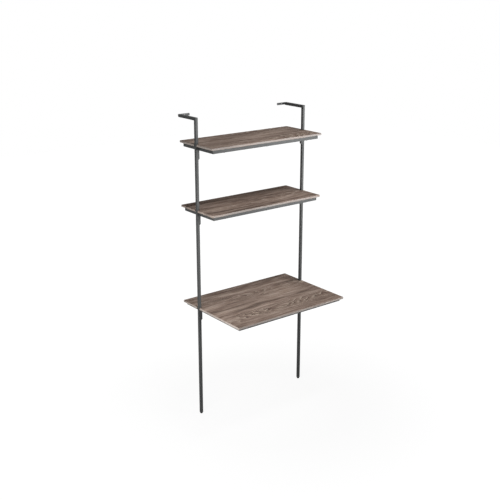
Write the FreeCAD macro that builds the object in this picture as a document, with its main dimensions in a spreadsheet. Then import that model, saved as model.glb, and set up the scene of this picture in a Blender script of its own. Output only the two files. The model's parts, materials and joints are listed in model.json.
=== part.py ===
import FreeCAD, Part
import os
import Sketcher

# Wall desk: two square-tube uprights with arms back to the wall carry two shelves and a desk top,
# each a wood board on a mitred tube frame that hangs on the uprights by bolted tabs.
# X runs along the wall, +Y points to the wall, +Z is up, and the origin is on the floor
# in the middle of the desk's footprint.

SIZES = {
    # boards
    "board_length": 880,
    "board_thickness": 13,
    "shelf_depth": 358,
    "desk_depth": 614,
    "board_wall_gap": 6,
    "board_corner_radius": 8,
    "board_edge_radius": 3,
    "notch_clearance": 4,
    # heights above the floor of the desk's top face and of the arms' top face
    "desk_top_height": 765,
    "overall_height": 1997,
    # from the arms' top face down to the upper shelf's top face, and on down to the middle shelf's
    "upper_shelf_drop": 163,
    "shelf_spacing": 416,
    # uprights and arms
    "upright_size": 18,
    "upright_wall": 1.5,
    "upright_corner_radius": 1.5,
    "upright_to_wall": 182,
    # frames under the boards
    "rail_width": 18,
    "rail_wall": 1.5,
    "rail_corner_radius": 1.5,
    "shelf_rail_height": 25,
    "desk_rail_height": 16,
    "rail_setback": 20,
    # tabs that hang each frame on the uprights
    "tab_thickness": 8,
    "tab_width": 16,
    "tab_end": 12,
    "tab_tip_thickness": 1,
    # bolts through the tabs, and the nuts inside the uprights
    "bolt_diameter": 6,
    "bolt_hole_clearance": 0.3,
    "bolt_head_diameter": 10.5,
    "bolt_head_top_diameter": 6.5,
    "bolt_head_height": 3.3,
    "bolt_socket_width": 4,
    "bolt_socket_depth": 2,
    "bolt_end": 1,
    "first_bolt_drop": 14,
    "bolt_spacing": 34,
    "nut_width": 10,
    "nut_thickness": 5,
    # fit of a thread drawn as a plain cylinder in its plain hole
    "thread_fit": 0.05,
    # screws up through the frames into the boards
    "screw_diameter": 4,
    "screw_hole_clearance": 0.25,
    "screw_cover": 4,
    "screw_pilot_end": 1,
    "screw_head_diameter": 8,
    "screw_head_top_diameter": 5,
    "screw_head_height": 3,
    "screw_end_distance": 90,
    # wall plates
    "plate_height": 15,
    "plate_thickness": 4,
    "plate_corner_radius": 3,
    "wall_hole_diameter": 6,
    "wall_hole_from_upright": 27,
    "wall_hole_to_plate_end": 39,
    # levelling feet and the inserts that take them
    "foot_pad_diameter": 18,
    "foot_pad_height": 7,
    "foot_pad_chamfer": 1,
    "foot_rest_gap": 0.5,
    "foot_stud_diameter": 8,
    "foot_stud_length": 34,
    "insert_flange": 2,
    "insert_depth": 24,
}

doc = FreeCAD.newDocument("wall_desk")
sheet = doc.addObject("Spreadsheet::Sheet", "sizes")
for row, (alias, number) in enumerate(SIZES.items(), start=1):
    sheet.set("A%d" % row, alias)
    sheet.set("B%d" % row, str(number))
    sheet.setAlias("B%d" % row, alias)
doc.recompute()


ALONG = FreeCAD.Vector(1, 0, 0)
UP = FreeCAD.Vector(0, 0, 1)
TINY = 1e-6


class Size:
    """A length in millimetres together with the sheet formula that gives it."""

    def __init__(self, value, formula):
        self.value = value
        self.formula = formula

    def joined(self, other, sign, value):
        return Size(value, "(%s %s %s)" % (self.formula, sign, as_size(other).formula))

    def __add__(self, other):
        return self.joined(other, "+", self.value + as_size(other).value)

    def __sub__(self, other):
        return self.joined(other, "-", self.value - as_size(other).value)

    def __mul__(self, other):
        return self.joined(other, "*", self.value * as_size(other).value)

    def __truediv__(self, other):
        return self.joined(other, "/", self.value / as_size(other).value)

    def __neg__(self):
        return Size(-self.value, "(0 - %s)" % self.formula)


def as_size(number):
    """A Size stays as it is, and a plain number becomes one."""
    if isinstance(number, Size):
        return number
    return Size(float(number), repr(number))


def cell(alias):
    """The Size that a cell of the sheet holds."""
    return Size(float(getattr(sheet, alias)), "sizes." + alias)


def bind(thing, path, size):
    """Ties one property of a document object to a Size."""
    thing.setExpression(path, as_size(size).formula)


def place(thing, x, y, z, turn=0):
    """Puts a piece at a point, turned about Z by degrees, or with its +Z aimed along a direction."""
    thing.Placement = FreeCAD.Placement(FreeCAD.Vector(0, 0, 0), FreeCAD.Rotation(UP, turn))
    for axis, size in (("x", x), ("y", y), ("z", z)):
        bind(thing, "Placement.Base." + axis, size)


# Sketches and features

def new_body(label):
    body = doc.addObject("PartDesign::Body", label)
    body.Label = label
    return body


def new_sketch(body, plane_role):
    """A sketch on one of the body's own origin planes."""
    sketch = body.newObject("Sketcher::SketchObject", body.Label + "_sketch")
    plane = [part for part in body.Origin.OriginFeatures if part.Role == plane_role][0]
    sketch.AttachmentSupport = [(plane, "")]
    sketch.MapMode = "FlatFace"
    return sketch


def fix_point(sketch, line, end, x, y):
    """Holds one end of a sketch element at x, y from the origin."""
    for kind, size in (("DistanceX", x), ("DistanceY", y)):
        size = as_size(size)
        index = sketch.addConstraint(Sketcher.Constraint(kind, -1, 1, line, end, size.value))
        name = "%s_%d" % (kind, index)
        sketch.renameConstraint(index, name)
        bind(sketch, "Constraints." + name, size)


def draw_outline(sketch, corners):
    """A closed outline of straight lines through corners given as x, y sizes."""
    first = sketch.GeometryCount
    points = [FreeCAD.Vector(as_size(x).value, as_size(y).value, 0) for x, y in corners]
    count = len(points)
    for step in range(count):
        sketch.addGeometry(Part.LineSegment(points[step], points[(step + 1) % count]), False)
    for step in range(count):
        following = first + (step + 1) % count
        sketch.addConstraint(Sketcher.Constraint("Coincident", first + step, 2, following, 1))
    for step, (x, y) in enumerate(corners):
        fix_point(sketch, first + step, 1, x, y)


def draw_rectangle(sketch, left, bottom, right, top):
    draw_outline(sketch, [(left, bottom), (right, bottom), (right, top), (left, top)])


def draw_circle(sketch, x, y, diameter):
    centre = FreeCAD.Vector(as_size(x).value, as_size(y).value, 0)
    index = sketch.addGeometry(Part.Circle(centre, UP, diameter.value / 2), False)
    fix_point(sketch, index, 3, x, y)
    across = sketch.addConstraint(Sketcher.Constraint("Diameter", index, diameter.value))
    name = "Diameter_%d" % across
    sketch.renameConstraint(across, name)
    bind(sketch, "Constraints." + name, diameter)


def pad(body, sketch, length, downwards=False):
    feature = body.newObject("PartDesign::Pad", body.Label + "_pad")
    feature.Profile = sketch
    feature.Reversed = downwards
    bind(feature, "Length", length)
    doc.recompute()
    return feature


def pocket(body, sketch, depth=None, backwards=False):
    """Cuts a sketch out of the body, through everything both ways unless a depth is given."""
    volume_before = body.Shape.Volume
    feature = body.newObject("PartDesign::Pocket", body.Label + "_pocket")
    feature.Profile = sketch
    if depth is None:
        feature.Type = "ThroughAll"
        feature.SideType = "Symmetric"
    else:
        feature.Reversed = backwards
        bind(feature, "Length", depth)
    doc.recompute()
    if not body.Shape.Volume < volume_before:
        raise RuntimeError("a pocket cuts nothing in " + body.Label)
    return feature


def edge_names(feature, wanted):
    """Names of the feature's straight edges whose middle point and direction pass a test."""
    names = []
    for index, edge in enumerate(feature.Shape.Edges, start=1):
        if not isinstance(edge.Curve, Part.Line):
            continue
        middle = edge.valueAt((edge.FirstParameter + edge.LastParameter) / 2)
        if wanted(middle, edge.Curve.Direction):
            names.append("Edge%d" % index)
    return names


def round_edges(body, feature, radius, wanted):
    rounding = body.newObject("PartDesign::Fillet", body.Label + "_fillet")
    rounding.Base = (feature, edge_names(feature, wanted))
    bind(rounding, "Radius", radius)
    doc.recompute()
    return rounding


def same(first, second):
    return abs(first - as_size(second).value) < TINY


def parallel(direction, axis):
    """Whether an edge's unit direction runs along an axis, either way."""
    return abs(abs(direction.dot(axis)) - 1) < TINY


# Values that several pieces share

board_length = cell("board_length")
board_thickness = cell("board_thickness")
upright_size = cell("upright_size")
upright_wall = cell("upright_wall")
upright_corner_radius = cell("upright_corner_radius")
overall_height = cell("overall_height")
rail_width = cell("rail_width")
rail_wall = cell("rail_wall")
thread_fit = cell("thread_fit")
bolt_diameter = cell("bolt_diameter")
bolt_hole = bolt_diameter + cell("bolt_hole_clearance") * 2
screw_diameter = cell("screw_diameter")
screw_hole = screw_diameter + cell("screw_hole_clearance") * 2
screw_bite = board_thickness - cell("screw_cover")
tab_thickness = cell("tab_thickness")
plate_thickness = cell("plate_thickness")

half_length = board_length / 2
inner_face = half_length - upright_size
frame_length = inner_face * 2
wall_y = (cell("board_wall_gap") + cell("desk_depth")) / 2
board_back = wall_y - cell("board_wall_gap")
upright_y = wall_y - cell("upright_to_wall")
upright_bottom = cell("foot_pad_height") + cell("foot_rest_gap") + cell("insert_flange")
upright_length = overall_height - upright_bottom

SIDES = (("left", -1), ("right", 1))


class Level:
    """One board with its frame: heights and depths that its pieces share."""

    def __init__(self, name, top, depth, rail_height):
        self.name = name
        self.depth = depth
        self.rail_height = rail_height
        self.under_board = top - board_thickness
        self.under_frame = self.under_board - rail_height
        self.front = board_back - depth
        self.frame_front = self.front + cell("rail_setback")
        self.frame_back = board_back - cell("rail_setback")
        self.bolt_heights = [
            self.under_frame - cell("first_bolt_drop"),
            self.under_frame - cell("first_bolt_drop") - cell("bolt_spacing"),
        ]
        screw_reach = frame_length / 2 - cell("screw_end_distance")
        self.screw_places = [-screw_reach, as_size(0), screw_reach]
        self.screw_rows = [self.frame_front + rail_width / 2, self.frame_back - rail_width / 2]
        self.screw_points = [(x, y) for y in self.screw_rows for x in self.screw_places]


shelf_depth = cell("shelf_depth")
shelf_rail_height = cell("shelf_rail_height")
upper_top = overall_height - cell("upper_shelf_drop")
middle_top = upper_top - cell("shelf_spacing")
LEVELS = [
    Level("upper_shelf", upper_top, shelf_depth, shelf_rail_height),
    Level("middle_shelf", middle_top, shelf_depth, shelf_rail_height),
    Level("desk", cell("desk_top_height"), cell("desk_depth"), cell("desk_rail_height")),
]
DESK = LEVELS[2]
DESK.screw_points.append((as_size(0), (DESK.frame_front + DESK.frame_back) / 2))


# Pieces

def make_tube(body, plane_role, width, height, wall, corner_radius, length, long_axis):
    """A square or rectangular tube, centred on its long axis, with rounded outer edges."""
    sketch = new_sketch(body, plane_role)
    draw_rectangle(sketch, -width / 2, -height / 2, width / 2, height / 2)
    inner_width = width / 2 - wall
    inner_height = height / 2 - wall
    draw_rectangle(sketch, -inner_width, -inner_height, inner_width, inner_height)
    tube = pad(body, sketch, length)

    def is_outer_corner(middle, direction):
        across = middle - long_axis * middle.dot(long_axis)
        corner_distance = ((width.value / 2) ** 2 + (height.value / 2) ** 2) ** 0.5
        return parallel(direction, long_axis) and same(across.Length, corner_distance)

    round_edges(body, tube, corner_radius, is_outer_corner)


def make_upright(side, sign):
    """An upright tube: mitred top that falls towards the wall, bolt holes in the inner wall."""
    body = new_body(side + "_upright")
    half = upright_size / 2
    make_tube(body, "XY_Plane", upright_size, upright_size, upright_wall, upright_corner_radius,
              upright_length, UP)
    mitre = new_sketch(body, "YZ_Plane")
    draw_outline(mitre, [(-half, upright_length), (half, upright_length - upright_size),
                         (half, upright_length)])
    pocket(body, mitre)
    holes = new_sketch(body, "YZ_Plane")
    for level in LEVELS:
        for height in level.bolt_heights:
            draw_circle(holes, 0, height - upright_bottom, bolt_hole)
    pocket(body, holes, half + upright_wall, backwards=(sign < 0))
    place(body, (inner_face + half) * sign, upright_y, upright_bottom)
    return body


def make_wall_arm(side, sign):
    """The arm from an upright's top to the wall plate, mitred where it meets the upright."""
    body = new_body(side + "_wall_arm")
    half = upright_size / 2
    length = cell("upright_to_wall") + half - plate_thickness
    make_tube(body, "YZ_Plane", upright_size, upright_size, upright_wall, upright_corner_radius,
              length, ALONG)
    mitre = new_sketch(body, "XZ_Plane")
    draw_outline(mitre, [(0, half), (0, -half), (upright_size, -half)])
    pocket(body, mitre)
    place(body, (inner_face + half) * sign, upright_y - half, overall_height - half, turn=90)
    return body


def make_wall_plate(side, sign):
    """A flat bar across the arm's end, turned inwards along the wall, with one screw hole."""
    body = new_body(side + "_wall_plate")
    height = cell("plate_height")
    hole_x = (inner_face - cell("wall_hole_from_upright")) * sign
    outer = half_length * sign
    inner = hole_x - cell("wall_hole_to_plate_end") * sign
    sketch = new_sketch(body, "XZ_Plane")
    draw_outline(sketch, [(outer, -height), (inner, -height), (inner, 0), (outer, 0)])
    bar = pad(body, sketch, plate_thickness)

    def is_inner_corner(middle, direction):
        return parallel(direction, FreeCAD.Vector(0, 1, 0)) and same(middle.x, inner)

    round_edges(body, bar, cell("plate_corner_radius"), is_inner_corner)
    hole = new_sketch(body, "XZ_Plane")
    draw_circle(hole, hole_x, -height / 2, cell("wall_hole_diameter"))
    pocket(body, hole)
    place(body, as_size(0), wall_y, overall_height)
    return body


def make_foot_insert(side, sign):
    """A square plug in the upright's lower end, with a flange under it and a threaded hole."""
    body = new_body(side + "_foot_insert")
    half = upright_size / 2
    plug_half = half - upright_wall
    flange_sketch = new_sketch(body, "XY_Plane")
    draw_rectangle(flange_sketch, -half, -half, half, half)
    flange = pad(body, flange_sketch, cell("insert_flange"), downwards=True)
    round_edges(body, flange, upright_corner_radius, lambda middle, direction: parallel(direction, UP))
    plug = new_sketch(body, "XY_Plane")
    draw_rectangle(plug, -plug_half, -plug_half, plug_half, plug_half)
    pad(body, plug, cell("insert_depth"))
    thread = new_sketch(body, "XY_Plane")
    draw_circle(thread, 0, 0, cell("foot_stud_diameter") + thread_fit * 2)
    pocket(body, thread)
    place(body, (inner_face + half) * sign, upright_y, upright_bottom)
    return body


def make_levelling_foot(side, sign):
    """A round pad on a threaded stud, turned as one piece about the upright's axis."""
    body = new_body(side + "_levelling_foot")
    pad_radius = cell("foot_pad_diameter") / 2
    pad_height = cell("foot_pad_height")
    chamfer = cell("foot_pad_chamfer")
    stud_radius = cell("foot_stud_diameter") / 2
    stud_top = pad_height + cell("foot_stud_length")
    profile = new_sketch(body, "XZ_Plane")
    draw_outline(profile, [
        (0, 0),
        (pad_radius - chamfer, 0),
        (pad_radius, chamfer),
        (pad_radius, pad_height),
        (stud_radius, pad_height),
        (stud_radius, stud_top),
        (0, stud_top),
    ])
    turned = body.newObject("PartDesign::Revolution", body.Label + "_revolution")
    turned.Profile = profile
    turned.ReferenceAxis = (profile, ["V_Axis"])
    turned.Angle = 360
    place(body, (inner_face + upright_size / 2) * sign, upright_y, as_size(0))
    return body


def make_board(level):
    """A wood board with rounded corners and edges, a notch in each end, and screw pilot holes."""
    body = new_body(level.name + "_board")
    depth = level.depth
    outline = new_sketch(body, "XY_Plane")
    draw_rectangle(outline, -half_length, 0, half_length, depth)
    slab = pad(body, outline, board_thickness)
    corners = round_edges(body, slab, cell("board_corner_radius"),
                          lambda middle, direction: parallel(direction, UP))
    rounding = body.newObject("PartDesign::Fillet", body.Label + "_edges")
    long_edges = [
        "Edge%d" % index for index, edge in enumerate(corners.Shape.Edges, start=1)
        if same(edge.BoundBox.ZMin, edge.BoundBox.ZMax)
    ]
    rounding.Base = (corners, long_edges)
    bind(rounding, "Radius", cell("board_edge_radius"))
    doc.recompute()
    notches = new_sketch(body, "XY_Plane")
    gap = cell("notch_clearance")
    notch_half = upright_size / 2 + gap
    notch_y = upright_y - level.front
    for _, sign in SIDES:
        draw_rectangle(notches, half_length * sign, notch_y - notch_half,
                       (inner_face - gap) * sign, notch_y + notch_half)
    pocket(body, notches)
    pilots = new_sketch(body, "XY_Plane")
    for x, y in level.screw_points:
        draw_circle(pilots, x, y - level.front, screw_diameter + thread_fit * 2)
    pocket(body, pilots, screw_bite + cell("screw_pilot_end"), backwards=True)
    place(body, as_size(0), level.front, level.under_board)
    return body


def make_frame_rail(level, side, length, turn, x, y, screw_places):
    """One rail of a frame: a tube mitred at both ends, its outer face on the frame's outline."""
    body = new_body("%s_%s_rail" % (level.name, side))
    height = level.rail_height
    half_width = rail_width / 2
    make_tube(body, "YZ_Plane", rail_width, height, rail_wall, cell("rail_corner_radius"),
              length, ALONG)
    mitres = new_sketch(body, "XY_Plane")
    draw_outline(mitres, [(0, -half_width), (rail_width, half_width), (0, half_width)])
    draw_outline(mitres, [(length, -half_width), (length, half_width), (length - rail_width, half_width)])
    pocket(body, mitres)
    if screw_places:
        holes = new_sketch(body, "XY_Plane")
        for place_along in screw_places:
            draw_circle(holes, place_along + length / 2, 0, screw_hole)
        pocket(body, holes)
    place(body, x, y, level.under_board - height / 2, turn)
    return body


def make_frame(level):
    """The four mitred rails under a board."""
    half_width = rail_width / 2
    side_length = level.frame_back - level.frame_front
    half_frame = frame_length / 2
    return [
        make_frame_rail(level, "front", frame_length, 0,
                        -half_frame, level.frame_front + half_width, level.screw_places),
        make_frame_rail(level, "back", frame_length, 180,
                        half_frame, level.frame_back - half_width, level.screw_places),
        make_frame_rail(level, "left", side_length, -90,
                        -half_frame + half_width, level.frame_back, []),
        make_frame_rail(level, "right", side_length, 90,
                        half_frame - half_width, level.frame_front, []),
    ]


def make_desk_centre_rail():
    """A square-cut cross rail between the desk's front and back rails."""
    body = new_body("desk_centre_rail")
    start = DESK.frame_front + rail_width
    length = DESK.frame_back - rail_width - start
    make_tube(body, "YZ_Plane", rail_width, DESK.rail_height, rail_wall, cell("rail_corner_radius"),
              length, ALONG)
    hole = new_sketch(body, "XY_Plane")
    draw_circle(hole, length / 2, 0, screw_hole)
    pocket(body, hole)
    place(body, as_size(0), start, DESK.under_board - DESK.rail_height / 2, turn=90)
    return body


def make_tab(level, side, sign):
    """A flat bar under a frame's end, against the upright, slanted off at its lower inner edge."""
    body = new_body("%s_%s_tab" % (level.name, side))
    half_width = cell("tab_width") / 2
    drop = cell("first_bolt_drop") + cell("bolt_spacing") + cell("tab_end")
    tip = cell("tab_tip_thickness")
    slant = tab_thickness - tip
    sketch = new_sketch(body, "XZ_Plane")
    draw_outline(sketch, [
        (0, 0),
        (0, -drop),
        (-tip * sign, -drop),
        (-tab_thickness * sign, slant - drop),
        (-tab_thickness * sign, 0),
    ])
    pad(body, sketch, half_width * 2)
    holes = new_sketch(body, "YZ_Plane")
    for height in level.bolt_heights:
        draw_circle(holes, -half_width, height - level.under_frame, bolt_hole)
    pocket(body, holes)
    place(body, inner_face * sign, upright_y + half_width, level.under_frame)
    return body


def make_cylinder(label, radius, length):
    cylinder = doc.addObject("Part::Cylinder", label)
    bind(cylinder, "Radius", radius)
    bind(cylinder, "Height", length)
    return cylinder


def make_head(label, fastener):
    """A low round head of a bolt or screw: its flat side at the origin, narrowing along +Z."""
    head = doc.addObject("Part::Cone", label)
    bind(head, "Radius1", cell(fastener + "_head_diameter") / 2)
    bind(head, "Radius2", cell(fastener + "_head_top_diameter") / 2)
    bind(head, "Height", cell(fastener + "_head_height"))
    return head


def join(kind, label, base, tool):
    """A boolean of two document objects."""
    result = doc.addObject(kind, label)
    result.Base = base
    result.Tool = tool
    return result


def group(label, solids):
    """Separate identical solids that share one node."""
    compound = doc.addObject("Part::Compound", label)
    compound.Label = label
    compound.Links = solids
    return compound


def make_tab_bolt(label):
    """A socket-head bolt along +Z: the head's flat side at the origin, the shank below it."""
    head = make_head(label + "_head", "bolt")
    shank_length = tab_thickness + upright_wall + cell("nut_thickness") + cell("bolt_end")
    shank = make_cylinder(label + "_shank", bolt_diameter / 2, shank_length)
    bind(shank, "Placement.Base.z", -shank_length)
    socket = doc.addObject("Part::Prism", label + "_socket")
    socket.Polygon = 6
    bind(socket, "Circumradius", cell("bolt_socket_width") / (3 ** 0.5))
    bind(socket, "Height", cell("bolt_head_height"))
    bind(socket, "Placement.Base.z", cell("bolt_head_height") - cell("bolt_socket_depth"))
    whole = join("Part::Fuse", label + "_whole", head, shank)
    return join("Part::Cut", label, whole, socket)


def make_weld_nut(label):
    """A square nut along +Z with a plain hole in place of its thread."""
    block = doc.addObject("Part::Box", label + "_block")
    width = cell("nut_width")
    bind(block, "Length", width)
    bind(block, "Width", width)
    bind(block, "Height", cell("nut_thickness"))
    bind(block, "Placement.Base.x", -width / 2)
    bind(block, "Placement.Base.y", -width / 2)
    hole = make_cylinder(label + "_hole", bolt_diameter / 2 + thread_fit, cell("nut_thickness"))
    return join("Part::Cut", label, block, hole)


def make_tab_fasteners(level):
    """The bolts through a level's tabs and the nuts inside the uprights."""
    bolts = []
    nuts = []
    for side, sign in SIDES:
        inwards = ALONG * -sign
        for number, height in enumerate(level.bolt_heights, start=1):
            label = "%s_%s_%d" % (level.name, side, number)
            bolt = make_tab_bolt(label + "_bolt")
            place(bolt, (inner_face - tab_thickness) * sign, upright_y, height, inwards)
            bolts.append(bolt)
            nut = make_weld_nut(label + "_nut")
            nut_x = (inner_face + upright_wall + cell("nut_thickness")) * sign
            place(nut, nut_x, upright_y, height, inwards)
            nuts.append(nut)
    return [group(level.name + "_tab_bolts", bolts), group(level.name + "_weld_nuts", nuts)]


def make_board_screws(level):
    """Wood screws with their heads under the frame and their ends in the board."""
    screws = []
    downwards = -UP
    shank_length = level.rail_height + screw_bite
    for number, (x, y) in enumerate(level.screw_points, start=1):
        label = "%s_screw_%d" % (level.name, number)
        head = make_head(label + "_head", "screw")
        shank = make_cylinder(label + "_shank", screw_diameter / 2, shank_length)
        bind(shank, "Placement.Base.z", -shank_length)
        screw = join("Part::Fuse", label, head, shank)
        place(screw, x, y, level.under_frame, downwards)
        screws.append(screw)
    return group(level.name + "_board_screws", screws)


pieces = []
for side, sign in SIDES:
    pieces.append(make_upright(side, sign))
    pieces.append(make_wall_arm(side, sign))
    pieces.append(make_wall_plate(side, sign))
    pieces.append(make_foot_insert(side, sign))
    pieces.append(make_levelling_foot(side, sign))
for level in LEVELS:
    pieces.append(make_board(level))
    pieces.extend(make_frame(level))
    for side, sign in SIDES:
        pieces.append(make_tab(level, side, sign))
    pieces.extend(make_tab_fasteners(level))
    pieces.append(make_board_screws(level))
pieces.append(make_desk_centre_rail())
doc.recompute()

# Every feature has to have worked before anything is written

for thing in doc.Objects:
    if "Invalid" in thing.State or "Error" in thing.State:
        raise RuntimeError("%s failed: %s" % (thing.Label, thing.State))
for piece in pieces:
    if piece.Shape.isNull() or not piece.Shape.isValid():
        raise RuntimeError(piece.Label + " has no valid shape")

os.makedirs("parts", exist_ok=True)
for piece in pieces:
    piece.Shape.exportStep("parts/%s.step" % piece.Label)
    print("%-28s solids %d  volume %.1f" % (piece.Label, len(piece.Shape.Solids), piece.Shape.Volume))
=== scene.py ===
import json
import math

import bpy
import numpy as np
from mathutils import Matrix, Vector


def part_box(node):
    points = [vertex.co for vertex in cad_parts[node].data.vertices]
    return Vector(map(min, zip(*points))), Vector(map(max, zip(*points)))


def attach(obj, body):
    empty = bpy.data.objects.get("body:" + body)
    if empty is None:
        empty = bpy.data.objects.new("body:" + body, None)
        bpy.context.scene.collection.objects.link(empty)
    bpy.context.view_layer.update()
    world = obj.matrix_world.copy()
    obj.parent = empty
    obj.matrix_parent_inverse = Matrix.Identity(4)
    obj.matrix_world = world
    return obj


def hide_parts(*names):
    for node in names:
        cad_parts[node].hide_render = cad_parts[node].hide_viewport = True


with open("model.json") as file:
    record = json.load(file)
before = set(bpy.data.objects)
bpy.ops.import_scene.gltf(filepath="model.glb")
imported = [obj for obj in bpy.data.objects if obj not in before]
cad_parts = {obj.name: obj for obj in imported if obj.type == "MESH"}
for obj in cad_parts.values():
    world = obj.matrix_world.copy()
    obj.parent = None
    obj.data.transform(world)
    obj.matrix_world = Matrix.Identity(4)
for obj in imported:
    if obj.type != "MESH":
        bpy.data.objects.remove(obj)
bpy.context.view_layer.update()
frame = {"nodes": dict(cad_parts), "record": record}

# Wall desk: two square-tube uprights with arms to the wall carry two shelves and a desk top,
# each a wood board on a tube frame that hangs on the uprights by bolted tabs.
# Lengths are in metres. X runs along the wall, +Y points to the wall and +Z is up.

MM = 0.001
SIDES = ("left", "right")
LEVELS = ("upper_shelf", "middle_shelf", "desk")

# Boards
BOARD_CORNER = 8 * MM
BOARD_EDGE = 3 * MM
NOTCH_GAP = 4 * MM
NOTCH_MOUTH = 3.2 * MM
NOTCH_CORNER = 1 * MM
NOTCH_EDGE = 0.8 * MM
# Side tones are painted light laid over the grain: a neutral grey for the sheen that the rounded long
# edges catch, a pale tone for the highlight on the ends, and a dark one for the shade in the notches
# round the uprights
PAINTED_LIGHT_SIDE_TONES = {"long_edge": "#8f8b89", "painted_highlight_end": "#d4c9c1", "notch": "#2b221d"}

# Fasteners
FIRST_BOLT_DROP = 14 * MM
BOLT_SPACING = 34 * MM
SCREW_END_DISTANCE = 90 * MM
SCREW_BITE = 9 * MM

# Welds
WELD_LEG = 3 * MM
WELD_RIPPLE = 1.6 * MM
WELD_RIPPLE_DEPTH = 0.10
WELD_LEAN = 0.35
WELD_ROOT_DEPTH = 0.1 * MM
WELD_END_GAP = 1.5 * MM
PLATE_WELD_GAP = 1 * MM

# Levelling feet
PAD_HEIGHT = 7 * MM
STUD_RADIUS = 4 * MM
STUD_IN_PAD = 1 * MM

# Edges that turn by more than this stay sharp
SHARP_TURN = math.radians(38)


# Shapes as whole arrays

def span(node):
    """Lowest and highest corner of a CAD node as arrays."""
    low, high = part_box(node)
    return np.array(low), np.array(high)


def unit(vectors):
    """Vectors scaled to a length of 1."""
    return vectors / np.linalg.norm(vectors, axis=-1, keepdims=True)


def ring_mesh(rings):
    """Vertices and faces of a closed skin over rings of points.

    The rings are an array ring by point by xyz. Each ring runs counter-clockwise about the direction
    in which the rings follow each other. Neighbouring rings are joined by quads, and the first and
    last ring are filled.
    """
    count, around = rings.shape[:2]
    ring = np.arange(count - 1)[:, None] * around
    point = np.arange(around)[None, :]
    after = (point + 1) % around
    corners = [ring + point, ring + after, ring + around + after, ring + around + point]
    quads = np.stack(corners, axis=-1)
    first = np.arange(around)[::-1]
    last = np.arange(around) + (count - 1) * around
    return rings.reshape(-1, 3), quads.reshape(-1, 4).tolist() + [first.tolist(), last.tolist()]


def joined(parts):
    """Several meshes, each vertices and faces, as one."""
    vertices = np.concatenate([part[0] for part in parts])
    faces = []
    start = 0
    for part_vertices, part_faces in parts:
        faces += [[start + index for index in face] for face in part_faces]
        start += len(part_vertices)
    return vertices, faces


def rounded_outline(corners, radii, steps):
    """Points and outward normals of a closed counter-clockwise outline with rounded corners.

    At each corner an arc touches both sides. Its normal turns evenly from the first side's to the
    second side's, and a point is the arc's centre plus the radius along the normal, or minus it where
    the outline turns inwards. Both results are arrays corner by step by xy.
    """
    coming = unit(corners - np.roll(corners, 1, axis=0))
    going = unit(np.roll(corners, -1, axis=0) - corners)
    sideways = coming[:, 0] * going[:, 1] - coming[:, 1] * going[:, 0]
    onwards = (coming * going).sum(1)
    turn = np.arctan2(sideways, onwards)
    normal = np.stack([coming[:, 1], -coming[:, 0]], axis=-1)
    bulge = radii * np.sign(turn)
    start = corners - coming * (radii * np.tan(np.abs(turn) / 2))[:, None]
    centre = start - normal * bulge[:, None]
    angle = np.arctan2(normal[:, 1], normal[:, 0])[:, None] + turn[:, None] * np.linspace(0, 1, steps)
    normals = np.stack([np.cos(angle), np.sin(angle)], axis=-1)
    return centre[:, None] + normals * bulge[:, None, None], normals


def board_rings(low, high, corners, radii, sides):
    """A board as its edge profile carried round its outline, from the underside's rim to the top's.

    The profile is a quarter circle, an upright run and a quarter circle. A last ring just inside each
    rim keeps the flat faces flat. sides holds rows of one value per side, which go evenly from one to
    the next round a corner: first the profile's radius, then which kind of side it is. Returns the
    rings, and for each kind how far a point is round that kind's edge, from 0 to 1.
    """
    corner_steps = 9
    quarter_steps = 6
    rim = 0.15 * MM
    points, normals = rounded_outline(corners, radii, corner_steps)
    points = points.reshape(-1, 2)
    normals = normals.reshape(-1, 2)
    blend = np.linspace(0, 1, corner_steps)
    before = np.roll(sides, 1, axis=1)[:, :, None]
    radius, *kinds = (before * (1 - blend) + sides[:, :, None] * blend).reshape(len(sides), -1)

    turn = np.linspace(0, math.pi / 2, quarter_steps)[:, None]
    inset = radius * (1 - np.sin(turn))
    rise = radius * (1 - np.cos(turn))
    inset = np.concatenate([inset[:1] + rim, inset, inset[::-1], inset[:1] + rim])
    rising = low[2] + rise
    falling = high[2] - rise[::-1]
    height = np.concatenate([rising[:1], rising, falling, falling[-1:]])
    outline = points - normals * inset[:, :, None]
    quarter = np.sin(turn)
    edge = np.concatenate([[[0]], quarter, quarter[::-1], [[0]]])
    return np.dstack([outline, height]), [edge * kind for kind in kinds]


def board_outline(level):
    """Corners, corner radii and side values of a board with a notch in each end for the upright."""
    low, high = span(level + "_board")
    post_low, post_high = span("right_upright")
    near = post_low[1] - NOTCH_GAP
    far = post_high[1] + NOTCH_GAP
    inner = post_low[0] - NOTCH_GAP
    end = high[0]
    right_half = [(end, low[1]), (end, near), (inner, near), (inner, far), (end, far), (end, high[1])]
    left_half = [(-x, y) for x, y in reversed(right_half)]
    radii = [BOARD_CORNER, NOTCH_MOUTH, NOTCH_CORNER, NOTCH_CORNER, NOTCH_MOUTH, BOARD_CORNER] * 2
    # Notch sides take a dark tone, which is painted shade for the gap round each upright
    sides = ["painted_highlight_end", "notch", "notch", "notch", "painted_highlight_end", "long_edge"] * 2
    edge_radii = [NOTCH_EDGE if side == "notch" else BOARD_EDGE for side in sides]
    kinds = [[float(side == kind) for side in sides] for kind in PAINTED_LIGHT_SIDE_TONES]
    return low, high, np.array(right_half + left_half), np.array(radii), np.array([edge_radii] + kinds)


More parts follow.
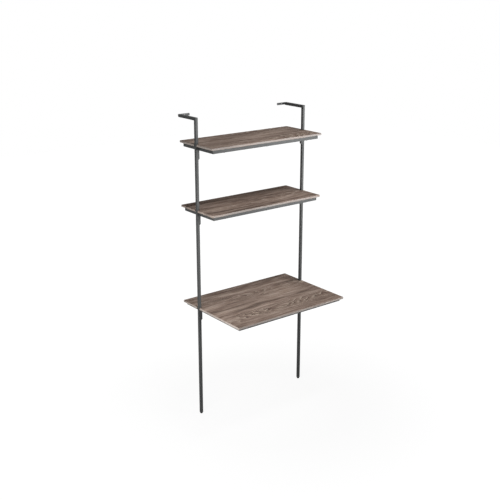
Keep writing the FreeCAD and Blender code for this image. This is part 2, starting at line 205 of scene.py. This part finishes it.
def weld_bead(start, end, first_face, second_face):
    """A fillet weld in the corner of two faces, as a quarter-round section carried from start to end.

    The leg length swells and dips along the bead once per ripple, in crescents that lean back at the
    middle of the section, and shrinks to the ends as a quarter ellipse does.
    """
    fewest_ripples = 3
    ripple_steps = 6
    section_steps = 9
    end_share = 0.002
    start, end, first_face, second_face = np.array([start, end, first_face, second_face], float)
    along = end - start
    if np.dot(np.cross(first_face, second_face), along) < 0:
        first_face, second_face = second_face, first_face
    length = np.linalg.norm(along)
    ripples = max(fewest_ripples, round(length / WELD_RIPPLE))
    share = np.linspace(end_share, 1 - end_share, ripples * ripple_steps + 1)
    from_end = np.minimum(share, 1 - share) * length / WELD_LEG
    taper = np.sqrt(1 - (1 - np.clip(from_end, 0, 1)) ** 2)
    turn = np.linspace(0, math.pi / 2, section_steps)
    lean = WELD_LEAN * np.sin(2 * turn)
    ripple = 1 - WELD_RIPPLE_DEPTH * np.abs(np.sin(math.pi * (share[:, None] * ripples + lean)))
    leg = WELD_LEG * taper[:, None] * ripple
    arc = np.cos(turn)[:, None] * first_face + np.sin(turn)[:, None] * second_face
    root = np.zeros((len(share), 1, 3)) - WELD_ROOT_DEPTH * (first_face + second_face)
    section = np.concatenate([root, leg[:, :, None] * arc], axis=1)
    return ring_mesh(start + share[:, None, None] * along + section)


def lathe(radius, height, shape, place, aim):
    """A turned piece: rings of a profile's radius and height about an axis, from tail to head.

    shape is each ring's outline as a factor of its radius, an array ring by point. The first point
    lies square to the axis and to a direction that no axis here shares.
    """
    slanted = (0.3, 0.5, 0.8)
    axis = unit(np.array(aim, float))
    side = unit(np.cross(axis, slanted))
    across = np.cross(axis, side)
    turn = np.linspace(0, 2 * math.pi, shape.shape[1], endpoint=False)
    around = np.cos(turn)[:, None] * side + np.sin(turn)[:, None] * across
    spread = (radius[:, None] * shape)[:, :, None] * around
    return ring_mesh(np.array(place) + height[:, None, None] * axis + spread)


def head_profile(shank_radius, shank_length, tip_radius, head_radius, head_height, rim_radius):
    """Radius and height of a fastener: a tapered tip, a plain shank and a head.

    The head is a low upright collar and a quarter-ellipse dome up to the drive's rim.
    """
    dome_steps = 8
    collar = 0.12
    dome = np.linspace(0, math.pi / 2, dome_steps)
    dome_radius = rim_radius + (head_radius - rim_radius) * np.cos(dome)
    dome_height = head_height * (collar + (1 - collar) * np.sin(dome))
    radius = np.concatenate([[tip_radius, shank_radius, shank_radius, head_radius], dome_radius])
    tip_length = 2 * (shank_radius - tip_radius)
    height = np.concatenate([[-shank_length, tip_length - shank_length, 0, 0], dome_height])
    return radius, height


def fastener(profile, drive_radius, drive_depth, drive_outline, place, aim):
    """A screw or bolt: its round profile, then the drive's recess sunk into the head."""
    lip = 0.1 * MM
    narrowing = 0.92
    radius, height = profile
    top = height[-1]
    radius = np.concatenate([radius, [drive_radius, drive_radius * narrowing]])
    height = np.concatenate([height, [top - lip, top - drive_depth]])
    plain = np.ones((len(radius) - 2, len(drive_outline)))
    shape = np.concatenate([plain, drive_outline[None, :], drive_outline[None, :]])
    return lathe(radius, height, shape, place, aim)


def hexagon(around=36):
    """A regular hexagon's distance from its centre at even turns, with the corners at 1."""
    turn = np.linspace(0, 2 * math.pi, around, endpoint=False)
    return math.cos(math.pi / 6) / np.cos(turn % (math.pi / 3) - math.pi / 6)


def cross(around=48):
    """A cross's distance from its centre at even turns: arms out to 1, and its core between them."""
    core = 0.34
    turn = np.linspace(0, 2 * math.pi, around, endpoint=False)
    arms = np.abs(np.cos(2 * turn)) ** 3 * (np.cos(4 * turn) > 0)
    return core + (1 - core) * arms


def foot_pad(low, centre, radius, height):
    """A moulded pad: a turned profile whose side dips in flutes, as a squared cosine wave does."""
    flutes = 18
    flute_steps = 8
    around = flutes * flute_steps
    flute_depth = 0.035
    profile_radius = np.array([0.80, 0.90, 0.97, 1.0, 1.0, 1.0, 0.97, 0.90, 0.62, 0.58]) * radius
    profile_height = np.array([0, 0, 0.04, 0.12, 0.2, 0.8, 0.92, 0.97, 1.0, 1.0]) * height
    fluted = np.array([0, 0, 0, 0, 1, 1, 0, 0, 0, 0])
    turn = np.linspace(0, 2 * math.pi, around, endpoint=False)
    dip = flute_depth * (0.5 - 0.5 * np.cos(flutes * turn)) ** 2
    shape = 1 - fluted[:, None] * dip
    return lathe(profile_radius, profile_height, shape, (centre[0], centre[1], low), (0, 0, 1))


def threaded_stud(bottom, top, centre, radius):
    """A threaded rod: its radius is a cosine wave of the height in pitches, less the turn.

    The last pitch narrows to the end as a lead-in.
    """
    pitch = 1.25 * MM
    pitch_steps = 8
    depth = 0.09
    around = 32
    height = np.linspace(0, top - bottom, round((top - bottom) / pitch * pitch_steps))
    turn = np.linspace(0, 2 * math.pi, around, endpoint=False)
    wave = 0.5 + 0.5 * np.cos(2 * math.pi * height[:, None] / pitch - turn)
    lead_in = np.clip((top - bottom - height) / pitch, 0, 1)
    profile = radius * (1 - 2 * depth * (1 - lead_in))
    return lathe(profile, height, 1 - depth * wave, (centre[0], centre[1], bottom), (0, 0, 1))


# Materials

def linear(colour):
    """An sRGB hex colour as linear red, green, blue and alpha."""
    channels = np.array([int(colour[i:i + 2], 16) for i in (1, 3, 5)]) / 255
    light = np.where(channels <= 0.04045, channels / 12.92, ((channels + 0.055) / 1.055) ** 2.4)
    return (*light.tolist(), 1.0)


def node(tree, kind, inputs=None, stops=None, **settings):
    """Adds a shader node with its settings, and a ramp's stops as places and colours.

    inputs maps sockets, by name or number, to a value, an output or a node, whose first enabled
    output is used. A Math node's numbers are its terms in order, a Map Range's are its value and then
    the two limits it comes from and the two it goes to, and a colour Mix's 0, 6 and 7 are its share
    and its two colours.
    """
    made = tree.nodes.new(kind)
    for name, value in settings.items():
        setattr(made, name, value)
    for socket, value in (inputs or {}).items():
        if isinstance(value, bpy.types.Node):
            value = next(output for output in value.outputs if output.enabled)
        if isinstance(value, bpy.types.NodeSocket):
            tree.links.new(value, made.inputs[socket])
        else:
            made.inputs[socket].default_value = value
    if stops:
        ramp = made.color_ramp.elements
        while len(ramp) < len(stops):
            ramp.new(1.0)
        for element, (place, colour) in zip(ramp, stops):
            element.position = place
            element.color = linear(colour)
    return made


def start_material(name):
    """A material with an empty tree."""
    material = bpy.data.materials.new(name)
    material.use_nodes = True
    material.node_tree.nodes.clear()
    return material, material.node_tree


def give_surface(tree, sockets):
    """Ends a tree with its surface shader and the output."""
    surface = node(tree, "ShaderNodeBsdfPrincipled", sockets)
    node(tree, "ShaderNodeOutputMaterial", {"Surface": surface})


def per_metre(millimetres):
    """A pattern's scale from the size of one of its features."""
    return 1 / (millimetres * MM)


def fibres(tree, place, length, width, detail):
    """Noise drawn out along the grain, its features so many millimetres long and wide."""
    scale = (per_metre(length), per_metre(width), per_metre(width))
    stretched = node(tree, "ShaderNodeMapping", {"Vector": place, "Scale": scale})
    return node(tree, "ShaderNodeTexNoise", {"Vector": stretched, "Scale": 1.0, "Detail": detail})


def stained_oak():
    """Oak planks, flat-sawn, glued edge to edge, wire-brushed, stained brown-grey and oiled matt.

    The eye sees long fibres, broad bands of warmer and greyer stain, and arched growth rings down the
    middle of each plank with pale open pores in them. Over these, colour is painted in for light and
    shade: a grey painted sheen on the long edges, a pale painted highlight on the ends, and dark
    painted shade in the notches.
    """
    material, tree = start_material("stained_oak_wire_brushed")
    plank_width = 307
    plank_shift = 1370 * MM
    heart_wander = 60 * MM
    heart_slope = 0.11
    ring_wave = 36 * MM
    ring_fray = 7 * MM
    ring_spacing = 9
    full_arch = 15 * MM
    faint_arch = 75 * MM
    place = node(tree, "ShaderNodeAttribute", attribute_name="log_place").outputs["Vector"]
    along, across, up = node(tree, "ShaderNodeSeparateXYZ", {0: place}).outputs

    # Each plank has its own stretch of log, so its grain starts elsewhere along it
    planks = node(tree, "ShaderNodeMath", {0: across, 1: per_metre(plank_width)},
                  operation="MULTIPLY")
    plank = node(tree, "ShaderNodeMath", {0: planks}, operation="FLOOR")
    plank_share = node(tree, "ShaderNodeMath", {0: planks}, operation="FRACT")
    across = node(tree, "ShaderNodeMath",
                  {0: plank_share, 1: plank_width * MM, 2: -plank_width * MM / 2},
                  operation="MULTIPLY_ADD")
    along = node(tree, "ShaderNodeMath", {0: plank, 1: plank_shift, 2: along},
                 operation="MULTIPLY_ADD")
    sawn = node(tree, "ShaderNodeCombineXYZ", {0: along, 1: across, 2: up})

    # Growth rings: distance from the log's heart, which lies under the face, slopes along the plank,
    # wanders sideways slowly and has rings round it that wave more quickly and show more in places.
    # Open pores, drawn out along the grain, fray each ring's line. They and the rings are drawn
    # coarser than in real oak, so that they show
    wander = fibres(tree, sawn, length=480, width=400, detail=1.0)
    wave = fibres(tree, sawn, length=200, width=40, detail=1.0)
    pores = fibres(tree, sawn, length=30, width=1.2, detail=2.0)
    aside = node(tree, "ShaderNodeMath", {0: wander, 1: heart_wander, 2: -heart_wander / 2},
                 operation="MULTIPLY_ADD")
    from_heart = node(tree, "ShaderNodeMath", {0: across, 1: aside}, operation="ADD")
    slope = node(tree, "ShaderNodeMath", {0: along, 1: heart_slope, 2: up},
                 operation="MULTIPLY_ADD")
    depth = node(tree, "ShaderNodeMath", {0: wave, 1: ring_wave, 2: slope},
                 operation="MULTIPLY_ADD")
    radial = node(tree, "ShaderNodeCombineXYZ", {0: from_heart, 1: depth})
    distance = node(tree, "ShaderNodeVectorMath", {0: radial}, operation="LENGTH")
    frayed = node(tree, "ShaderNodeMath", {0: pores, 1: ring_fray, 2: distance},
                  operation="MULTIPLY_ADD")
    rings = node(tree, "ShaderNodeMath", {0: frayed, 1: per_metre(ring_spacing)},
                 operation="MULTIPLY")
    year = node(tree, "ShaderNodeMath", {0: rings}, operation="FRACT")
    ring_tone = node(tree, "ShaderNodeValToRGB", {0: year}, stops=[
        (0.0, "#ead9c7"), (0.14, "#bba99a"), (0.3, "#958277"),
        (0.7, "#857166"), (0.92, "#4e3f37"), (1.0, "#89786b"),
    ])
    arched = node(tree, "ShaderNodeMath", {0: from_heart}, operation="ABSOLUTE")
    middle_share = node(tree, "ShaderNodeMapRange",
                        {0: arched, 1: full_arch, 2: faint_arch, 3: 1.0, 4: 0.25})
    figure = fibres(tree, sawn, length=420, width=300, detail=0.0)
    figure_share = node(tree, "ShaderNodeMapRange", {0: figure, 1: 0.4, 2: 0.55, 3: 0.3, 4: 1.0})
    ring_share = node(tree, "ShaderNodeMath", {0: middle_share, 1: figure_share},
                      operation="MULTIPLY")

    # Fibres as broad bands of stain, streaks and fine lines, which are coarser than real fibres so
    # that they show
    bands = fibres(tree, sawn, length=320, width=40, detail=4.0)
    streaks = fibres(tree, sawn, length=140, width=9, detail=3.0)
    fine = fibres(tree, sawn, length=45, width=1.1, detail=3.0)
    band_tone = node(tree, "ShaderNodeValToRGB", {0: bands}, stops=[
        (0.32, "#66584f"), (0.44, "#8d7a6f"), (0.56, "#a89488"), (0.68, "#c2aea0"),
    ])
    streak_light = node(tree, "ShaderNodeMapRange", {0: streaks, 1: 0.32, 2: 0.68, 3: 0.0, 4: 0.95})
    streaked = node(tree, "ShaderNodeMix", {0: 0.7, 6: band_tone, 7: streak_light},
                    data_type="RGBA", blend_type="SOFT_LIGHT")
    ringed = node(tree, "ShaderNodeMix", {0: ring_share, 6: streaked, 7: ring_tone},
                  data_type="RGBA")
    fine_light = node(tree, "ShaderNodeMapRange", {0: fine, 1: 0.3, 2: 0.7, 3: 0.15, 4: 0.85})
    fibred = node(tree, "ShaderNodeMix", {0: 0.45, 6: ringed, 7: fine_light},
                  data_type="RGBA", blend_type="SOFT_LIGHT")

    # Each kind of side gets its own painted tone (grey sheen, pale highlight, dark shade), in places
    # more than in others
    grain_and_painted_light = fibred
    side_share = node(tree, "ShaderNodeMapRange", {0: streaks, 1: 0.35, 2: 0.65, 3: 0.6, 4: 0.9})
    for kind, tone in PAINTED_LIGHT_SIDE_TONES.items():
        side = node(tree, "ShaderNodeAttribute", attribute_name=kind).outputs["Fac"]
        tone_share = node(tree, "ShaderNodeMath", {0: side, 1: side_share}, operation="MULTIPLY")
        grain_and_painted_light = node(tree, "ShaderNodeMix", {0: tone_share, 6: grain_and_painted_light, 7: linear(tone)},
                      data_type="RGBA")

    relief = node(tree, "ShaderNodeMath", {0: fine, 1: year}, operation="ADD")
    bump = node(tree, "ShaderNodeBump", {"Strength": 0.35, "Distance": 0.25 * MM, "Height": relief})
    sheen = node(tree, "ShaderNodeMapRange", {0: fine, 1: 0.3, 2: 0.7, 3: 0.8, 4: 0.68})
    give_surface(tree, {
        "Base Color": grain_and_painted_light, "Roughness": sheen, "Normal": bump, "Specular IOR Level": 0.06,
    })
    return material


def charcoal_powder_coat():
    """Steel tube under charcoal polyester powder coat, baked.

    The eye sees a dark neutral grey, nearly matt, with faint orange peel and a fine dust of lighter
    grains, which are drawn coarser than real powder so that they show.
    """
    material, tree = start_material("charcoal_powder_coat_baked")
    place = node(tree, "ShaderNodeTexCoord").outputs["Object"]
    grains = node(tree, "ShaderNodeTexNoise", {"Vector": place, "Scale": per_metre(0.8), "Detail": 2.0})
    peel = node(tree, "ShaderNodeTexNoise", {"Vector": place, "Scale": per_metre(2.2), "Detail": 1.0})
    cloud = node(tree, "ShaderNodeTexNoise", {"Vector": place, "Scale": per_metre(120), "Detail": 3.0})
    tone = node(tree, "ShaderNodeValToRGB", {0: grains}, stops=[
        (0.3, "#3f4040"), (0.55, "#484949"), (0.72, "#555655"),
    ])
    sheen = node(tree, "ShaderNodeMapRange", {0: cloud, 1: 0.3, 2: 0.7, 3: 0.55, 4: 0.65})
    bump = node(tree, "ShaderNodeBump", {"Strength": 0.12, "Distance": 0.02 * MM, "Height": peel})
    give_surface(tree, {
        "Base Color": tone, "Roughness": sheen, "Normal": bump, "Specular IOR Level": 0.25,
    })
    return material


def black_oxide_steel():
    """Forged bolt and screw heads, blackened in a hot oxide bath and oiled.

    The eye sees near-black metal with a soft oily gleam and faint brown blotches.
    """
    material, tree = start_material("black_oxide_steel_forged")
    place = node(tree, "ShaderNodeTexCoord").outputs["Object"]
    blotch = node(tree, "ShaderNodeTexNoise", {"Vector": place, "Scale": per_metre(3), "Detail": 4.0})
    tone = node(tree, "ShaderNodeValToRGB", {0: blotch}, stops=[
        (0.35, "#2a2a2b"), (0.6, "#363432"), (0.75, "#453f39"),
    ])
    sheen = node(tree, "ShaderNodeMapRange", {0: blotch, 1: 0.3, 2: 0.7, 3: 0.32, 4: 0.5})
    give_surface(tree, {"Base Color": tone, "Roughness": sheen, "Metallic": 1.0})
    return material


def zinc_plated_steel():
    """Rolled studs and nuts, plated with bright zinc.

    The eye sees pale blue-grey metal with a satin gleam and slight clouding.
    """
    material, tree = start_material("zinc_plated_steel_rolled")
    place = node(tree, "ShaderNodeTexCoord").outputs["Object"]
    cloud = node(tree, "ShaderNodeTexNoise", {"Vector": place, "Scale": per_metre(2), "Detail": 4.0})
    tone = node(tree, "ShaderNodeValToRGB", {0: cloud}, stops=[
        (0.3, "#aeb2b6"), (0.6, "#bfc2c4"), (0.75, "#c9c8c2"),
    ])
    sheen = node(tree, "ShaderNodeMapRange", {0: cloud, 1: 0.3, 2: 0.7, 3: 0.26, 4: 0.42})
    give_surface(tree, {"Base Color": tone, "Roughness": sheen, "Metallic": 1.0})
    return material


def black_moulded_plastic():
    """Feet and inserts, injection moulded in black polypropylene with a spark-eroded texture.

    The eye sees a matt black, a little waxy, with a fine even grain, which is drawn coarser than the
    real one so that it shows.
    """
    material, tree = start_material("black_polypropylene_moulded")
    place = node(tree, "ShaderNodeTexCoord").outputs["Object"]
    grain = node(tree, "ShaderNodeTexNoise", {"Vector": place, "Scale": per_metre(0.6), "Detail": 2.0})
    tone = node(tree, "ShaderNodeValToRGB", {0: grain}, stops=[
        (0.3, "#161617"), (0.6, "#1c1c1d"), (0.75, "#262627"),
    ])
    sheen = node(tree, "ShaderNodeMapRange", {0: grain, 1: 0.3, 2: 0.7, 3: 0.48, 4: 0.6})
    bump = node(tree, "ShaderNodeBump", {"Strength": 0.2, "Distance": 0.06 * MM, "Height": grain})
    give_surface(tree, {"Base Color": tone, "Roughness": sheen, "Normal": bump})
    return material


MATERIALS = {
    "wood": stained_oak(),
    "powder_coated_steel": charcoal_powder_coat(),
    "black_oxide_steel": black_oxide_steel(),
    "zinc_plated_steel": zinc_plated_steel(),
    "black_plastic": black_moulded_plastic(),
}
for part in frame["record"]["subparts"]:
    for material_slot in frame["nodes"][part["node"]].material_slots:
        material_slot.material = MATERIALS[part["material_slot"]]


# Pieces

def add_piece(name, vertices, faces, slot, body="frame", replaces=()):
    """A mesh object at the origin that rides on a body and takes a slot's finish."""
    mesh = bpy.data.meshes.new(name)
    mesh.from_pydata(vertices, [], faces)
    mesh.shade_smooth()
    mesh.set_sharp_from_angle(angle=SHARP_TURN)
    mesh.materials.append(MATERIALS[slot])
    piece = bpy.data.objects.new(name, mesh)
    bpy.context.scene.collection.objects.link(piece)
    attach(piece, body)
    if replaces:
        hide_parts(*replaces)
    return piece


# Where in its log each board was sawn, so that no two show the same grain
LOG_PLACES = {
    "upper_shelf": (1.90, 0.60, 0.055),
    "middle_shelf": (3.00, 0.20, 0.060),
    "desk": (0.00, 0.0185, 0.030),
}

# How strongly each board's ends, and in the same way its long edges, take the pale painted highlight;
# the share differs from board to board as the light on each level does
END_PAINTED_HIGHLIGHT = {"upper_shelf": 1.0, "middle_shelf": 0.45, "desk": 1.0}
EDGE_PAINTED_HIGHLIGHT = {"upper_shelf": 0.0, "middle_shelf": 0.0, "desk": 0.28}


def make_board(level):
    """A board with rounded edges, with its place in the log and its kinds of side as attributes."""
    low, high, *outline = board_outline(level)
    rings, kinds = board_rings(low, high, *outline)
    vertices, faces = ring_mesh(rings)
    piece = add_piece(level + "_wood", vertices, faces, "wood", replaces=[level + "_board"])
    middle = (low + high) / 2
    log_place = vertices - middle + np.array(LOG_PLACES[level])
    grain = piece.data.attributes.new("log_place", "FLOAT_VECTOR", "POINT")
    grain.data.foreach_set("vector", log_place.astype(np.float32).ravel())
    shares = dict(zip(PAINTED_LIGHT_SIDE_TONES, kinds))
    # The pale end tone is a painted highlight; on the desk the long edges take some of it too
    end_share = shares["painted_highlight_end"] * END_PAINTED_HIGHLIGHT[level]
    shares["painted_highlight_end"] = end_share + shares["long_edge"] * EDGE_PAINTED_HIGHLIGHT[level]
    for name, share in shares.items():
        attribute = piece.data.attributes.new(name, "FLOAT", "POINT")
        attribute.data.foreach_set("value", share.astype(np.float32).ravel())


def make_tab_bolts(level):
    """Button-head bolts with a hexagon socket, two in each tab."""
    profile = head_profile(
        shank_radius=3 * MM, shank_length=15.5 * MM, tip_radius=2.4 * MM,
        head_radius=5.25 * MM, head_height=3.3 * MM, rim_radius=2.7 * MM,
    )
    socket_radius = 2.31 * MM
    socket_depth = 2 * MM
    bolts = []
    for side, inwards in zip(SIDES, (1, -1)):
        low, high = span("%s_%s_tab" % (level, side))
        face = high[0] if inwards > 0 else low[0]
        for drop in (FIRST_BOLT_DROP, FIRST_BOLT_DROP + BOLT_SPACING):
            place = (face, (low[1] + high[1]) / 2, high[2] - drop)
            aim = (inwards, 0, 0)
            bolts.append(fastener(profile, socket_radius, socket_depth, hexagon(), place, aim))
    replaced = level + "_tab_bolts"
    add_piece(level + "_button_head_bolts", *joined(bolts), "black_oxide_steel", replaces=[replaced])


def make_board_screws(level):
    """Pan-head wood screws with a cross recess, up through the rails."""
    front_low, front_high = span(level + "_front_rail")
    back_low, back_high = span(level + "_back_rail")
    reach = front_high[0] - SCREW_END_DISTANCE
    front = (front_low[1] + front_high[1]) / 2
    back = (back_low[1] + back_high[1]) / 2
    points = [(x, y) for y in (front, back) for x in (-reach, 0, reach)]
    if level == "desk":
        points.append((0, (front + back) / 2))
    rail_height = front_high[2] - front_low[2]
    profile = head_profile(
        shank_radius=2 * MM, shank_length=rail_height + SCREW_BITE, tip_radius=0.5 * MM,
        head_radius=4 * MM, head_height=3 * MM, rim_radius=2.2 * MM,
    )
    recess_radius = 2 * MM
    recess_depth = 1.6 * MM
    screws = [
        fastener(profile, recess_radius, recess_depth, cross(), (x, y, front_low[2]), (0, 0, -1))
        for x, y in points
    ]
    replaced = level + "_board_screws"
    add_piece(level + "_pan_head_screws", *joined(screws), "black_oxide_steel", replaces=[replaced])


def make_frame_welds(level):
    """Fillet welds round the tabs' tops, in the frame's inner corners and at the desk's cross rail."""
    beads = []
    for side, inwards in zip(SIDES, (1, -1)):
        low, high = span("%s_%s_tab" % (level, side))
        inner = high[0] if inwards > 0 else low[0]
        edges = [((inner, low[1]), (inner, high[1]), (inwards, 0, 0))]
        for y, outwards in ((low[1], -1), (high[1], 1)):
            edges.append(((low[0], y), (high[0], y), (0, outwards, 0)))
        for start, end, facing in edges:
            beads.append(weld_bead((*start, high[2]), (*end, high[2]), (0, 0, -1), facing))
    front_low, front_high = span(level + "_front_rail")
    back_low, _ = span(level + "_back_rail")
    right_low, _ = span(level + "_right_rail")
    rail_faces = [(-right_low[0], 1), (right_low[0], -1)]
    if level == "desk":
        cross_low, cross_high = span("desk_centre_rail")
        rail_faces += [(cross_low[0], -1), (cross_high[0], 1)]
    for x, x_facing in rail_faces:
        for y, y_facing in ((front_high[1], 1), (back_low[1], -1)):
            bottom = (x, y, front_low[2] + WELD_END_GAP)
            top = (x, y, front_high[2] - WELD_END_GAP)
            beads.append(weld_bead(bottom, top, (x_facing, 0, 0), (0, y_facing, 0)))
    add_piece(level + "_welds", *joined(beads), "powder_coated_steel")


def make_wall_plate_welds():
    """A fillet weld up the inner side of each arm, where its end meets the wall plate."""
    beads = []
    for side, inwards in zip(SIDES, (1, -1)):
        arm_low, arm_high = span(side + "_wall_arm")
        plate_low, plate_high = span(side + "_wall_plate")
        x = arm_high[0] if inwards > 0 else arm_low[0]
        bottom = (x, plate_low[1], plate_low[2])
        top = (x, plate_low[1], plate_high[2] - PLATE_WELD_GAP)
        beads.append(weld_bead(bottom, top, (inwards, 0, 0), (0, -1, 0)))
    add_piece("wall_plate_welds", *joined(beads), "powder_coated_steel")


def make_levelling_foot(side):
    """A fluted pad moulded on a threaded stud; both move with the foot."""
    node_name = side + "_levelling_foot"
    body = side + "_foot"
    low, high = span(node_name)
    centre = (low + high) / 2
    pad_radius = (high[0] - low[0]) / 2
    stud_bottom = low[2] + PAD_HEIGHT - STUD_IN_PAD
    pad = foot_pad(low[2], centre, pad_radius, PAD_HEIGHT)
    stud = threaded_stud(stud_bottom, high[2], centre, STUD_RADIUS)
    add_piece(side + "_foot_pad", *pad, "black_plastic", body=body, replaces=[node_name])
    add_piece(side + "_foot_stud", *stud, "zinc_plated_steel", body=body)


for level_name in LEVELS:
    make_board(level_name)
    make_tab_bolts(level_name)
    make_board_screws(level_name)
    make_frame_welds(level_name)
make_wall_plate_welds()
for side_name in SIDES:
    make_levelling_foot(side_name)


# Stage, light and camera

BACKGROUND = (1.0, 1.0, 1.0, 1.0)


def seen_directly(tree):
    """1 for rays from the camera or off a shiny or clear surface, and 0 for the rest."""
    path = node(tree, "ShaderNodeLightPath").outputs
    shiny = node(tree, "ShaderNodeMath", {0: path["Is Camera Ray"], 1: path["Is Glossy Ray"]},
                 operation="MAXIMUM")
    return node(tree, "ShaderNodeMath", {0: shiny, 1: path["Is Transmission Ray"]},
                operation="MAXIMUM")


def make_floor():
    """A wide pale floor that shows white and keeps a light shadow, which fades out round the object."""
    half = 9.0
    glow = 1.05
    near_glow_share = 0.88
    fade_start = 0.6
    fade_end = 1.8
    mesh = bpy.data.meshes.new("floor")
    corners = np.array([(-half, -half, 0), (half, -half, 0), (half, half, 0), (-half, half, 0)])
    mesh.from_pydata(corners, [], [(0, 1, 2, 3)])
    floor = bpy.data.objects.new("floor", mesh)
    bpy.context.scene.collection.objects.link(floor)
    material, tree = start_material("pale_studio_floor")
    paint = node(tree, "ShaderNodeBsdfDiffuse", {"Color": linear("#f0f0f0")})
    white = node(tree, "ShaderNodeEmission", {"Color": BACKGROUND, "Strength": glow})
    place = node(tree, "ShaderNodeTexCoord").outputs["Object"]
    away = node(tree, "ShaderNodeVectorMath", {0: place}, operation="LENGTH")
    fade = node(tree, "ShaderNodeMapRange",
                {0: away, 1: fade_start, 2: fade_end, 3: near_glow_share, 4: 1.0})
    share = node(tree, "ShaderNodeMath", {0: seen_directly(tree), 1: fade}, operation="MULTIPLY")
    mixed = node(tree, "ShaderNodeMixShader", {0: share, 1: paint, 2: white})
    node(tree, "ShaderNodeOutputMaterial", {"Surface": mixed})
    mesh.materials.append(material)


def make_world(ambient):
    """White where it is seen, and an even soft light elsewhere."""
    world = bpy.data.worlds.new("studio")
    world.use_nodes = True
    tree = world.node_tree
    tree.nodes.clear()
    level = node(tree, "ShaderNodeMapRange",
                 {0: seen_directly(tree), 1: 0.0, 2: 1.0, 3: ambient, 4: 1.0})
    background = node(tree, "ShaderNodeBackground", {"Color": BACKGROUND, "Strength": level})
    node(tree, "ShaderNodeOutputWorld", {"Surface": background})
    bpy.context.scene.world = world


def make_softbox(name, place, target, width, height, power, beam=180):
    """An area lamp that faces a target, with a beam so many degrees wide."""
    lamp = bpy.data.lights.new(name, "AREA")
    lamp.shape = "RECTANGLE"
    lamp.size = width
    lamp.size_y = height
    lamp.energy = power
    lamp.spread = math.radians(beam)
    box = bpy.data.objects.new(name, lamp)
    box.location = place
    box.rotation_mode = "QUATERNION"
    box.rotation_quaternion = (Vector(target) - Vector(place)).to_track_quat("-Z", "Y")
    bpy.context.scene.collection.objects.link(box)


def make_camera():
    """The photograph's view: from the left of the front, above the uprights' tops."""
    azimuth = math.radians(-37.81)
    elevation = math.radians(17.742)
    target = Vector((-0.1148, 0.0, 1.1258))
    distance = 5.5355
    focal_pixels = 856.02
    photo_pixels = 500
    back = Vector((
        math.sin(azimuth) * math.cos(elevation),
        -math.cos(azimuth) * math.cos(elevation),
        math.sin(elevation),
    ))
    camera = bpy.data.cameras.new("camera")
    camera.sensor_width = 36.0
    camera.lens = focal_pixels / photo_pixels * camera.sensor_width
    holder = bpy.data.objects.new("camera", camera)
    holder.location = target + back * distance
    holder.rotation_mode = "QUATERNION"
    holder.rotation_quaternion = (-back).to_track_quat("-Z", "Y")
    bpy.context.scene.collection.objects.link(holder)
    bpy.context.scene.camera = holder


make_floor()
make_world(ambient=0.03)
make_softbox("front_softbox", place=(1.3, -1.75, 1.6), target=(0, 0, 1.75),
             width=1.2, height=1.2, power=21, beam=85)
make_softbox("overhead_strip", place=(0.05, -0.85, 3.15), target=(0, -0.1, 1.4),
             width=1.3, height=0.35, power=17)
make_softbox("left_softbox", place=(-1.35, -0.5, 1.1), target=(-0.44, -0.1, 1.1),
             width=0.6, height=0.6, power=12)
make_softbox("back_softbox", place=(0.7, 2.0, 0.5), target=(0, 0.2, 1.1),
             width=1.0, height=1.0, power=20)
make_camera()
bpy.context.scene.view_settings.view_transform = "Standard"
